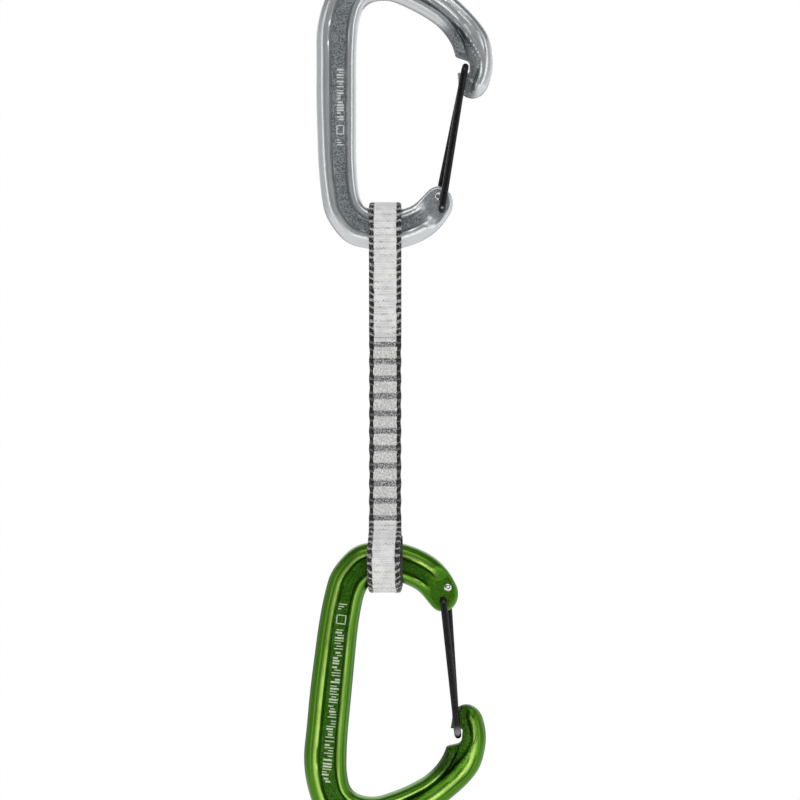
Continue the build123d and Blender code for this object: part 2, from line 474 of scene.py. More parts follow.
@dataclass(frozen=True)
class AnodisedForging:
    """Satin anodised aluminium with a peppery as-forged grain in its channels."""

    name: str
    # Painted highlight colour of the crests.
    crest: Colour
    flank: Colour
    pepper: Colour
    channel: Colour
    rough: float = 0.36
    channel_rough: float = 0.50
    grain_scale: float = 2300.0
    grain_depth: float = 0.00006
    oxide: float = 0.12
    # How far the shelf and nose are darkened as painted shade.
    dulling: float = 0.58

    def material(self) -> bpy.types.Material:
        """Builds the finish.

        Returns:
            The material.
        """
        s = Shading(self.name)
        place = s.place()
        grain = s.noise(place, self.grain_scale, 3.0)
        fine = s.noise(place, self.grain_scale * 3.1, 2.0)
        broad = s.noise(place, 90.0, 3.0)
        recess = s.attribute("recess")
        crest = s.attribute("crest")
        pepper = s.band(grain, 0.40, 0.62, 0.0, 1.0)
        floor = s.blend(pepper, self.pepper, self.channel)
        # Painted highlight: the crests are coloured lighter, in broad patches, as if lit.
        patchy_highlight = s.maths("MULTIPLY", crest, s.band(broad, 0.35, 0.65, 0.45, 1.0))
        rim = s.blend(patchy_highlight, self.flank, self.crest)
        # Painted shade: darker on the shelf and nose, as if shaded, times a fine grain tone.
        grain_and_painted_shade = s.maths("MULTIPLY", s.band(fine, 0.3, 0.7, 0.90, 1.06),
                             s.band(s.attribute("dull"), 0.0, 1.0, 1.0, self.dulling))
        colour = s.blend(recess, rim, floor)
        grey = s.add("CombineColor", {0: grain_and_painted_shade, 1: grain_and_painted_shade, 2: grain_and_painted_shade}).outputs[0]
        tinted = s.add("Mix", {0: 1.0, 6: colour, 7: grey}, data_type="RGBA", blend_type="MULTIPLY")
        rough = s.maths("ADD", s.band(recess, 0.0, 1.0, self.rough, self.channel_rough),
                        s.band(fine, 0.3, 0.7, -0.04, 0.06))
        lift = s.maths("ADD", s.maths("MULTIPLY", grain, s.band(recess, 0.0, 1.0, 0.25, 1.0)),
                       s.maths("MULTIPLY", fine, 0.35))
        s.feed(s.shader, {
            "Base Color": tinted.outputs[2], "Metallic": 1.0, "Roughness": rough,
            "Coat Weight": self.oxide, "Coat Roughness": 0.30,
            "Normal": s.relief(lift, self.grain_depth, 0.55),
        })
        return s.material


@dataclass(frozen=True)
class CoatedWire:
    """Black coated spring wire with faint drawing lines, rubbed spots and painted highlights."""

    name: str = "black_coated_wire"
    coat: Colour = (0.006, 0.006, 0.007)
    rubbed: Colour = (0.030, 0.030, 0.032)
    # Painted highlight grey of the elbows and toe.
    glint_grey: Colour = (0.42, 0.42, 0.42)

    def material(self) -> bpy.types.Material:
        """Builds the finish.

        Returns:
            The material.
        """
        s = Shading(self.name)
        place = s.place()
        spots = s.band(s.noise(place, 1400.0, 3.0), 0.58, 0.74, 0.0, 1.0)
        fine = s.noise(place, 5200.0, 2.0)
        # Painted highlight: grey blended into the coat at the marked elbows and toe.
        s.feed(s.shader, {
            "Base Color": s.blend(s.attribute("rub"), s.blend(spots, self.coat, self.rubbed), self.glint_grey),
            "Metallic": 0.0,
            "Roughness": s.band(fine, 0.3, 0.7, 0.26, 0.38),
            "Specular IOR Level": 0.2,
            "Coat Weight": 0.05,
            "Coat Roughness": 0.22,
            "Normal": s.relief(fine, 0.00002, 0.4),
        })
        return s.material


@dataclass(frozen=True)
class PeenedSteel:
    """Bare wire end with the marks of the peening tool."""

    name: str = "peened_bright_steel"
    bright: Colour = (0.80, 0.80, 0.78)
    dull: Colour = (0.46, 0.46, 0.46)

    def material(self) -> bpy.types.Material:
        """Builds the finish.

        Returns:
            The material.
        """
        s = Shading(self.name)
        place = s.place()
        dents = s.noise(place, 1500.0, 2.0)
        s.feed(s.shader, {
            "Base Color": s.blend(s.band(dents, 0.38, 0.6, 0.0, 1.0), self.dull, self.bright),
            "Metallic": 1.0,
            "Roughness": s.band(s.noise(place, 4000.0), 0.3, 0.7, 0.16, 0.32),
            "Normal": s.relief(dents, 0.0002, 0.5),
        })
        return s.material


@dataclass(frozen=True)
class WovenTape:
    """White tape with fine weft rows and black and white twill selvedges.

    The pattern coordinates are millimetres across, from the middle, and along.
    """

    name: str = "woven_tape"
    white: Colour = (0.90, 0.90, 0.89)
    shade: Colour = (0.30, 0.30, 0.295)
    black: Colour = (0.013, 0.013, 0.015)
    fleck: Colour = (0.55, 0.55, 0.54)
    # Near black between the bar tacks: partly the squeezed weave and partly painted shade.
    sewn: Colour = (0.035, 0.035, 0.035)
    row_pitch: float = 0.52
    warp_pitch: float = 0.72
    row_zigzag: float = 0.36
    dash_pitch: float = 2.05
    dash_zigzag: float = 0.55
    twill_pitch: float = 2.2
    selvedge_from: float = 3.45
    selvedge_fade: float = 0.12
    weave_depth: float = 0.00010

    def material(self) -> bpy.types.Material:
        """Builds the finish.

        Returns:
            The material.
        """
        s = Shading(self.name)
        uv = s.add("UVMap", uv_map="weave").outputs[0]
        parts = s.add("SeparateXYZ", {0: uv}).outputs
        across, along = parts[0], parts[1]
        place = s.place()
        wander = s.maths("MULTIPLY", s.maths("SUBTRACT", s.noise(place, 520.0, 2.0), 0.5), 2.2)
        zigzag = s.maths("PINGPONG", across, self.row_zigzag)
        row_at = s.maths("ADD", along, s.maths("MULTIPLY", zigzag, 0.55))
        rows = s.maths("SINE", s.maths("MULTIPLY", row_at, 2.0 * math.pi / self.row_pitch))
        ends = s.maths("SINE", s.maths("MULTIPLY", across, 2.0 * math.pi / self.warp_pitch))
        weave = s.maths("MULTIPLY", rows, s.band(ends, -1.0, 1.0, 0.55, 1.0))
        patchy = s.band(s.noise(place, 330.0, 2.0), 0.36, 0.64, 0.05, 0.85)
        dark_row = s.maths("MULTIPLY", s.band(weave, 0.1, -1.0, 0.0, 1.0), patchy)
        dash_at = s.maths("ADD", along, s.maths("PINGPONG", across, self.dash_zigzag))
        dash_wave = s.maths("SINE", s.maths("MULTIPLY", dash_at, 2.0 * math.pi / self.dash_pitch))
        dashes = s.maths("MULTIPLY", s.band(dash_wave, 0.55, 1.0, 0.0, 1.0),
                         s.band(s.noise(place, 260.0, 2.0), 0.38, 0.60, 0.25, 1.0))
        broken = s.band(s.noise(place, 1500.0, 1.0), 0.40, 0.58, 0.15, 1.0)
        dashes = s.maths("MULTIPLY", dashes, broken)
        centre = s.blend(s.maths("MAXIMUM", dark_row, dashes), self.white, self.shade)
        speckle = s.noise(place, 2600.0, 2.0)
        # Partly squeezed weave and partly painted shade: near-black speckle between the bar tacks.
        sewn = s.maths("MULTIPLY", s.attribute("sewn"), s.band(speckle, 0.40, 0.62, 1.0, 0.25))
        centre = s.blend(sewn, centre, self.sewn)
        edge = s.maths("ABSOLUTE", s.maths("ADD", across, s.maths("MULTIPLY", wander, 0.35)))
        fade = self.selvedge_fade
        selvedge = s.band(edge, self.selvedge_from - fade, self.selvedge_from + fade, 0.0, 1.0)
        lean = s.maths("ADD", along, s.maths("MULTIPLY", edge, 0.35))
        twill_at = s.maths("ADD", lean, wander)
        twill = s.maths("SINE", s.maths("MULTIPLY", twill_at, 2.0 * math.pi / self.twill_pitch))
        pale = s.maths("MULTIPLY", s.band(twill, 0.30, 0.80, 0.0, 1.0),
                       s.band(speckle, 0.4, 0.56, 0.30, 1.0))
        loose = s.maths("MULTIPLY", s.band(speckle, 0.60, 0.68, 0.0, 1.0), 0.7)
        flecks = s.maths("MULTIPLY", s.maths("MAXIMUM", pale, loose),
                         s.band(s.attribute("seam"), 0.0, 1.0, 1.0, 0.30))
        edge_colour = s.blend(flecks, self.black, self.fleck)
        fuzz = s.noise(place, 6000.0, 2.0)
        lift = s.maths("ADD", s.band(weave, -1.0, 1.0, 0.0, 1.0), s.maths("MULTIPLY", fuzz, 0.6))
        s.feed(s.shader, {
            "Base Color": s.blend(selvedge, centre, edge_colour),
            "Roughness": 0.82,
            "Sheen Weight": 0.22,
            "Sheen Roughness": 0.5,
            "Specular IOR Level": 0.25,
            "Normal": s.relief(lift, self.weave_depth, 0.6),
        })
        return s.material


@dataclass(frozen=True)
class TackThread:
    """Twisted polyester thread, off white with darker strands."""

    name: str = "tack_thread"
    light: Colour = (0.93, 0.93, 0.91)
    dark: Colour = (0.62, 0.62, 0.61)

    def material(self) -> bpy.types.Material:
        """Builds the finish.

        Returns:
            The material.
        """
        s = Shading(self.name)
        place = s.place()
        strand = s.noise(place, 1900.0, 3.0)
        fine = s.noise(place, 9000.0, 2.0)
        s.feed(s.shader, {
            "Base Color": s.blend(s.band(strand, 0.44, 0.58, 0.0, 1.0), self.dark, self.light),
            "Roughness": 0.7,
            "Sheen Weight": 0.2,
            "Specular IOR Level": 0.3,
            "Normal": s.relief(fine, 0.00004, 0.6),
        })
        return s.material


@dataclass(frozen=True)
class KeeperRubber:
    """Smooth moulded black rubber, a little dusty."""

    name: str = "keeper_rubber"
    black: Colour = (0.010, 0.010, 0.011)
    dusty: Colour = (0.030, 0.030, 0.032)

    def material(self) -> bpy.types.Material:
        """Builds the finish.

        Returns:
            The material.
        """
        s = Shading(self.name)
        place = s.place()
        dust = s.noise(place, 700.0, 4.0)
        s.feed(s.shader, {
            "Base Color": s.blend(s.band(dust, 0.4, 0.7, 0.0, 1.0), self.black, self.dusty),
            "Roughness": s.band(dust, 0.3, 0.7, 0.38, 0.55),
            "Normal": s.relief(s.noise(place, 5000.0), 0.00002, 0.4),
        })
        return s.material


@dataclass(frozen=True)
class LaserMark:
    """Frosted mark burnt into the oxide."""

    name: str
    colour: Colour
    shaded: float = 0.72

    def material(self) -> bpy.types.Material:
        """Builds the finish.

        Returns:
            The material.
        """
        s = Shading(self.name)
        place = s.place()
        frost = s.noise(place, 4200.0, 2.0)
        shade = tuple(self.shaded * c for c in self.colour)
        s.feed(s.shader, {
            "Base Color": s.blend(s.band(frost, 0.4, 0.6, 0.0, 1.0), shade, self.colour),
            "Metallic": 0.0,
            "Roughness": 0.70,
            "Normal": s.relief(frost, 0.00002, 0.4),
        })
        return s.material


SILVER = AnodisedForging(
    "silver_anodised_forging", crest=(0.86, 0.87, 0.87), flank=(0.66, 0.68, 0.69),
    pepper=(0.185, 0.21, 0.22), channel=(0.50, 0.52, 0.53))
GREEN = AnodisedForging(
    "green_anodised_forging", crest=(0.50, 0.80, 0.16), flank=(0.072, 0.225, 0.008),
    pepper=(0.018, 0.085, 0.003), channel=(0.065, 0.205, 0.010))


# ---------------------------------------------------------------- the forged body


class Side(Enum):
    """The two faces of a carabiner in its own frame."""

    PLUS = 1
    MINUS = -1


@dataclass
class CarabinerBody:
    """Forged I-beam bar of a carabiner, drawn hinge end up in millimetres."""

    back: tuple[Station, ...] = (
        (27.0, -47.7, 0), (31.8, -51.2, -66), (33.5, -59.5, -92), (31.1, -68.9, -122),
        (23.6, -77.5, -137), (11.5, -86.2, -147), (-2.0, -91.0, 180), (-13.8, -86.7, 137),
        (-20.3, -74.5, 105), (-21.5, -54.0, 90.5), (-21.0, -32.0, 88), (-19.3, -14.6, 80),
        (-14.2, -4.9, 49), (-2.0, -0.5, 4), (11.0, -3.1, -25), (18.0, -8.7, -52), (20.9, -15.4, -94),
    )
    window: tuple[Station, ...] = (
        (16.4, -20.3, 180), (10.6, -16.3, 134), (3.0, -12.6, 168), (-4.8, -13.1, -154),
        (-8.2, -20.0, -96), (-8.8, -45.0, -90), (-8.3, -69.0, -85), (-3.4, -78.1, -14),
        (3.4, -77.7, 22), (14.0, -72.1, 34), (20.0, -65.6, 61), (22.2, -57.4, 85), (22.6, -52.4, 90),
    )
    half_t: float = 4.6
    outer_flank: float = 3.3
    inner_flank: float = 2.1
    outer_rim: float = 3.9
    inner_rim: float = 2.7
    channel_depth: float = 2.15
    wall: float = 1.0
    bow_crease: tuple[float, float, float] = (1.35, 0.16, 0.22)
    arm_creases: tuple[tuple[float, float, float], ...] = ((2.7, 0.42, 0.34), (4.7, 0.24, 0.22))
    arm_rim_growth: float = 2.3
    hinge_at: tuple[float, float] = (18.8, -15.2)
    hinge_r: float = 6.0
    hinge_half_t: float = 2.4
    hinge_edge: float = 4.6
    nose_at: tuple[float, float] = (22.0, -56.2)
    nose_r: float = 5.6
    nose_half_t: float = 2.8
    slot_x: float = 22.2
    slot_w: float = 8.0
    slot_z: tuple[float, float, float, float] = (-60.0, -56.0, -44.0, -40.0)
    flat_edge: float = 3.0
    flat_inset: float = 0.2
    edge_round_r: float = 1.2
    arm_x: tuple[float, float] = (-4.0, 6.0)
    arm_z: tuple[float, float] = (-66.0, -58.0)
    shelf_at: tuple[float, float] = (20.5, -62.5)
    shelf_r: float = 4.5
    shelf_fade: float = 5.0
    shelf_depth: tuple[float, float] = (3.6, 5.6)
    nose_grain_and_shade_depth: tuple[float, float] = (4.5, 7.0)
    hinge_grain_from: tuple[float, float] = (0.5, 1.4)
    dull_share: float = 0.9
    hinge_share: float = 0.7
    flats_calm: float = 0.75
    crest_outer: tuple[float, float] = (0.3, 0.80)
    crest_inner: tuple[float, float] = (0.1, 0.5)
    notch: tuple[tuple[float, float], ...] = ((18.0, -55.9), (26.2, -54.9), (26.2, -59.6), (18.0, -62.3))
    notch_r: float = 1.2
    holes: tuple[tuple[float, float], ...] = ((17.5, -12.7), (16.5, -16.8))
    hole_r: float = 1.08
    cut_y: float = 8.0
    sections: int = 620
    window_points: int = 2400
    pairing_reach: int = 14
    across: int = 36
    line_step: float = 0.12

    def __post_init__(self) -> None:
        """Works out the two edge lines, from the nose's tip to the hinge's tip."""
        nose_cap = biarc_points(self.window[-1], self.back[0], self.line_step)
        hinge_cap = biarc_points(self.back[-1], self.window[0], self.line_step)
        nose_mid, hinge_mid = len(nose_cap) // 2, len(hinge_cap) // 2
        back = station_line(self.back, self.line_step)
        window = station_line(self.window, self.line_step)
        self.outer = np.vstack([nose_cap[nose_mid:], back, hinge_cap[:hinge_mid + 1]])
        inner = np.vstack([hinge_cap[hinge_mid:], window, nose_cap[:nose_mid + 1]])
        self.inner = inner[::-1]

    def edge_pairs(self) -> tuple[np.ndarray, np.ndarray]:
        """Points of the back, each with the nearest point of the window, evened out.

        Returns:
            The points of the back and their partners on the window.
        """
        outer = evened(self.outer, self.sections + 1)
        inner = evened(self.inner, self.window_points)
        gap = ((outer[:, None, :] - inner[None, :, :]) ** 2).sum(axis=2)
        nearest = np.maximum.accumulate(gap.argmin(axis=1)).astype(float)
        nearest[0], nearest[-1] = 0.0, len(inner) - 1.0
        reach = self.pairing_reach
        kernel = np.hanning(2 * reach + 1)
        kernel /= kernel.sum()
        padded = np.concatenate([2 * nearest[0] - nearest[reach:0:-1], nearest,
                                 2 * nearest[-1] - nearest[-2:-reach - 2:-1]])
        even = np.clip(np.convolve(padded, kernel, "valid"), 0.0, len(inner) - 1.0)
        even[0], even[-1] = 0.0, len(inner) - 1.0
        steps = np.arange(len(inner))
        paired = np.column_stack([np.interp(even, steps, inner[:, k]) for k in (0, 1)])
        return outer, paired

    def shares(self) -> np.ndarray:
        """Places across the bar from 0 to 1, closer together near the edges."""
        even = np.linspace(0.0, 1.0, self.across + 1)
        return 0.45 * even + 0.55 * (1.0 - np.cos(math.pi * even)) / 2.0

    def arm(self, at: np.ndarray) -> np.ndarray:
        """1 on the arm between the basket and the nose, 0 elsewhere."""
        return smooth_step(*self.arm_x, at[:, 0]) * (1.0 - smooth_step(*self.arm_z, at[:, 1]))

    def recess(self, at: np.ndarray, d_out: np.ndarray, d_in: np.ndarray) -> np.ndarray:
        """How much each point lies on the channel's floor.

        Args:
            at: Points in the drawing plane.
            d_out: Their distances from the back's edge.
            d_in: Their distances from the window's edge.

        Returns:
            1 on the channel's floor and 0 on the flanges.
        """
        rim = self.outer_rim + self.arm_rim_growth * self.arm(at)
        from_back = smooth_step(0.0, self.wall, d_out - rim)
        from_window = smooth_step(self.inner_rim, self.inner_rim + self.wall, d_in)
        return from_back * from_window

    def flat_shares(self, at: np.ndarray) -> tuple[np.ndarray, np.ndarray]:
        """How much the two flats hold at each point.

        Args:
            at: Points in the drawing plane.

        Returns:
            The share of the hinge flat and the share of the nose flat, from 0 to 1.
        """
        hinge = np.linalg.norm(at - np.array(self.hinge_at), axis=1)
        nose = np.linalg.norm(at - np.array(self.nose_at), axis=1)
        inset = self.flat_inset
        hinge_share = 1.0 - smooth_step(self.hinge_r - inset, self.hinge_r + self.hinge_edge, hinge)
        nose_share = 1.0 - smooth_step(self.nose_r - inset, self.nose_r + self.flat_edge, nose)
        beside = np.abs(at[:, 0] - self.slot_x)
        slot = 1.0 - smooth_step(self.slot_w / 2, self.slot_w / 2 + self.flat_edge, beside)
        low_from, low_to, high_from, high_to = self.slot_z
        slot *= smooth_step(low_from, low_to, at[:, 1]) * (1.0 - smooth_step(high_from, high_to, at[:, 1]))
        return hinge_share, np.maximum(nose_share, slot)

    def half_thickness(self, at: np.ndarray, d_out: np.ndarray, d_in: np.ndarray) -> np.ndarray:
        """Half thickness of the bar at points of the drawing plane.

        Args:
            at: Points in the drawing plane.
            d_out: Their distances from the back's edge.
            d_in: Their distances from the window's edge.

        Returns:
            Half thickness in millimetres, 0 on the edges.
        """
        out = 1.0 - np.clip(d_out / self.outer_flank, 0.0, 1.0)
        inn = 1.0 - np.clip(d_in / self.inner_flank, 0.0, 1.0)
        rounding = np.sqrt(1.0 - out ** 2) * np.sqrt(1.0 - inn ** 2)
        full = self.half_t * rounding
        full = full - self.channel_depth * self.recess(at, d_out, d_in)
        arm = self.arm(at)
        place, depth, width = self.bow_crease
        full = full - (1.0 - arm) * depth * np.exp(-((d_out - place) / width) ** 2)
        for place, depth, width in self.arm_creases:
            full = full - arm * depth * np.exp(-((d_out - place) / width) ** 2)
        hinge, nose = self.flat_shares(at)
        from_edge = np.clip(np.minimum(d_out, d_in) / self.edge_round_r, 0.0, 1.0)
        edge_round = np.sqrt(1.0 - (1.0 - from_edge) ** 2)
        low = np.minimum(full, self.hinge_half_t * edge_round)
        full = full + (low - full) * hinge
        low = np.minimum(full, self.nose_half_t * edge_round)
        return np.clip(full + (low - full) * nose, 0.0, None)

    def cutter(self) -> bpy.types.Object:
        """The notch and the hinge holes as one cutting tool.

        Returns:
            The tool, linked to the scene.
        """
        bm = bmesh.new()
        corners = [bm.verts.new((x * MM, -self.cut_y * MM, z * MM)) for x, z in self.notch]
        bm.faces.new(corners)
        inner = [v for v in corners if v.co.x > 20.0 * MM]
        bmesh.ops.bevel(bm, geom=inner, offset=self.notch_r * MM, segments=6, profile=0.5,
                        affect="VERTICES", material=-1)
        face = bm.faces[:][0]
        grown = bmesh.ops.extrude_face_region(bm, geom=[face])
        moved = [g for g in grown["geom"] if isinstance(g, bmesh.types.BMVert)]
        bmesh.ops.translate(bm, verts=moved, vec=(0.0, 2.0 * self.cut_y * MM, 0.0))
        for x, z in self.holes:
            turn = Matrix.Translation((x * MM, 0.0, z * MM)) @ Matrix.Rotation(math.pi / 2, 4, "X")
            bmesh.ops.create_cone(bm, cap_ends=True, segments=40, radius1=self.hole_r * MM,
                                  radius2=self.hole_r * MM, depth=2.0 * self.cut_y * MM, matrix=turn)
        bmesh.ops.recalc_face_normals(bm, faces=bm.faces)
        tool = bpy.data.objects.new("cutter", finished(bm, "cutter"))
        bpy.context.scene.collection.objects.link(tool)
        return tool

    def mesh(self) -> bpy.types.Mesh:
        """Builds the whole body in its own frame, in metres.

        Returns:
            The body's mesh, with its notch and holes cut.
        """
        outer, inner = self.edge_pairs()
        shares = self.shares()
        flat = (outer[:, None, :] * (1.0 - shares)[None, :, None]
                + inner[:, None, :] * shares[None, :, None])
        points = flat.reshape(-1, 2)
        d_out = distance_to(self.outer, points)
        d_in = distance_to(self.inner, points)
        height = self.half_thickness(points, d_out, d_in).reshape(flat.shape[:2])
        height[:, 0] = height[:, -1] = 0.0
        height[0, :] = height[-1, :] = 0.0
        turns = 2 * self.across

        def place(i: np.ndarray, j: np.ndarray) -> np.ndarray:
            """The +Y face on the way out and the -Y face on the way back.

            Args:
                i: Steps around the section.
                j: Steps along the bar.

            Returns:
                Places in millimetres.
            """
            step = np.where(i <= self.across, i, turns - i)
            side = np.where(i <= self.across, 1.0, -1.0)
            spot = flat[j, step]
            return np.column_stack([spot[:, 0], side * height[j, step], spot[:, 1]])

        blank = wrapped_grid("forging", turns, self.sections, place)
        piece = bpy.data.objects.new("forging", blank)
        bpy.context.scene.collection.objects.link(piece)
        tool = self.cutter()
        cut = piece.modifiers.new("cut", "BOOLEAN")
        cut.operation, cut.solver, cut.object = "DIFFERENCE", "EXACT", tool
        bpy.context.view_layer.update()
        seen = piece.evaluated_get(bpy.context.evaluated_depsgraph_get())
        done = bpy.data.meshes.new_from_object(seen)
        for used in (piece, tool):
            bpy.data.objects.remove(used)
        bm = bmesh.new()
        bm.from_mesh(done)
        in_order(bm)
        bm.to_mesh(done)
        bm.free()
        self.mark(done)
        return done

    def mark(self, mesh: bpy.types.Mesh) -> None:
        """Stores how grainy each point is and where it gets painted highlight and painted shade.

        Args:
            mesh: The body's mesh in its own frame, in metres.
        """
        at = (coordinates(mesh) / MM)[:, [0, 2]]
        d_out, d_in = distance_to(self.outer, at), distance_to(self.inner, at)
        hinge, nose = self.flat_shares(at)
        flats = np.maximum(hinge, nose)
        # Grain and painted shade on the shelf by the notch and on the nose flat.
        shelf = np.linalg.norm(at - np.array(self.shelf_at), axis=1)
        on_shelf = 1.0 - smooth_step(self.shelf_r, self.shelf_r + self.shelf_fade, shelf)
        dull = on_shelf * (1.0 - smooth_step(*self.shelf_depth, d_in))
        on_nose = nose * (1.0 - smooth_step(*self.nose_grain_and_shade_depth, d_in))
        dull = np.maximum(dull, self.dull_share * on_nose)
        on_hinge = hinge * smooth_step(*self.hinge_grain_from, np.minimum(d_in, d_out))
        recess = self.recess(at, d_out, d_in) * (1.0 - self.flats_calm * flats)
        recess = np.maximum(recess, self.dull_share * dull)
        recess = np.maximum(recess, self.hinge_share * on_hinge)
        # Painted highlight along the crest of each flange, none on the flats.
        before, width = self.crest_outer
        near_outer = np.exp(-((d_out - self.outer_rim + before) / width) ** 2)
        before, width = self.crest_inner
        near_inner = np.exp(-((d_in - self.inner_rim + before) / width) ** 2)
        crest = np.maximum(near_outer, near_inner) * (1.0 - flats)
        store(mesh, recess=recess, crest=crest, dull=dull)


# ---------------------------------------------------------------- gate and its ends


@dataclass
class Gate:
    """Bent wire gate in the carabiner's own frame, in millimetres."""

    wire_r: float = 1.05
    leg_y: float = 4.2
    leg_a: tuple[float, float] = (17.5, -12.7)
    leg_b: tuple[float, float] = (16.5, -16.8)
    knee: tuple[float, float] = (23.9, -53.0)
    toe: tuple[float, float] = (24.8, -57.2)
    foot_y: float = 2.45
    stub_r: float = 0.98
    stub_y: tuple[float, float] = (1.6, 3.1)
    elbow_r: float = 1.45
    knee_r: float = 4.0
    toe_r: float = 2.4
    sides: int = 24
    step: float = 0.18
    # Strength and reach of the painted highlights at the elbows and toe.
    elbow_rub: float = 0.9
    elbow_rub_r: tuple[float, float] = (0.35, 0.70)
    elbow_rub_y: tuple[float, float] = (0.45, 0.75)
    toe_rub: float = 0.0
    toe_rub_r: tuple[float, float] = (0.8, 3.4)
    toe_rub_y: tuple[float, float] = (0.2, 0.5)
    head_r: float = 1.25
    head_h: float = 0.45
    head_y: float = 2.4

    def wire(self, name: str) -> bpy.types.Mesh:
        """The whole wire, from one foot on the body's face to the other.

        Args:
            name: Name of the mesh.

        Returns:
            The wire's mesh, with its painted highlights stored.
        """
        (ax, az), (bx, bz), (kx, kz), (tx, tz) = self.leg_a, self.leg_b, self.knee, self.toe
        y = self.leg_y
        corners = [
            (ax, self.foot_y, az), (ax, y, az), (kx, y, kz), (tx, y, tz),
            (tx, -y, tz), (kx, -y, kz), (bx, -y, bz), (bx, -self.foot_y, bz),
        ]
        radii = [self.elbow_r, self.knee_r, self.toe_r, self.toe_r, self.knee_r, self.elbow_r]
        mesh = tube(name, rounded_route(corners, radii, self.step), self.wire_r, self.sides)
        co = coordinates(mesh) / MM
        flat, height = co[:, [0, 2]], np.abs(co[:, 1])
        # Painted highlights on the outer faces of the elbows and on the toe's face.
        rub = np.zeros(len(co))
        low, high = self.elbow_rub_y
        outside = smooth_step(self.leg_y + low, self.leg_y + high, height)
        for at in (self.leg_a, self.leg_b):
            near = 1.0 - smooth_step(*self.elbow_rub_r, np.linalg.norm(flat - np.array(at), axis=1))
            rub = np.maximum(rub, self.elbow_rub * outside * near)
        near_toe = 1.0 - smooth_step(*self.toe_rub_r, np.linalg.norm(flat - np.array(self.toe), axis=1))
        low, high = self.toe_rub_y
        faced = smooth_step(self.leg_y - low, self.leg_y + high, height)
        store(mesh, rub=np.maximum(rub, self.toe_rub * near_toe * faced))
        return mesh

    def stub(self, name: str, at: tuple[float, float], side: Side) -> bpy.types.Mesh:
        """Length of wire that stays in its hole and reaches into the elbow.

        Args:
            name: Name of the mesh.
            at: Place of the hole in the drawing plane.
            side: The face that the elbow is on.

        Returns:
            The stub's mesh, in place.
        """
        low, high = self.stub_y
        route = np.array([(at[0], side.value * y, at[1]) for y in (low, high)])
        return tube(name, route, self.stub_r, self.sides)

    def head(self, name: str, at: tuple[float, float], side: Side) -> bpy.types.Mesh:
        """Peened head of a wire end: a low dome with a flattened top and a burred rim.

        Args:
            name: Name of the mesh.
            at: Place of the hole in the drawing plane.
            side: The face that the head is on.

        Returns:
            The head's mesh, in place.
        """
        profile = [(0.0, 0.90), (0.34, 0.92), (0.50, 1.0), (0.68, 0.90), (0.84, 0.66),
                   (0.95, 0.36), (1.0, 0.10), (0.98, -0.30), (0.60, -0.60)]
        bm = bmesh.new()
        verts = [bm.verts.new((r * self.head_r * MM, 0.0, h * self.head_h * MM)) for r, h in profile]
        edges = [bm.edges.new(pair) for pair in zip(verts, verts[1:])]
        bmesh.ops.spin(bm, geom=verts + edges, cent=(0, 0, 0), axis=(0, 0, 1),
                       angle=2.0 * math.pi, steps=56, use_merge=True, use_duplicate=False)
        bmesh.ops.remove_doubles(bm, verts=bm.verts, dist=WELD)
        bmesh.ops.holes_fill(bm, edges=[e for e in bm.edges if e.is_boundary], sides=0)
        bmesh.ops.recalc_face_normals(bm, faces=bm.faces)
        face_y = side.value * self.head_y * MM
        turn = Matrix.Rotation(-side.value * math.pi / 2, 4, "X")
        bm.transform(Matrix.Translation((at[0] * MM, face_y, at[1] * MM)) @ turn)
        in_order(bm)
        return finished(bm, name)


# ---------------------------------------------------------------- marks on the spine


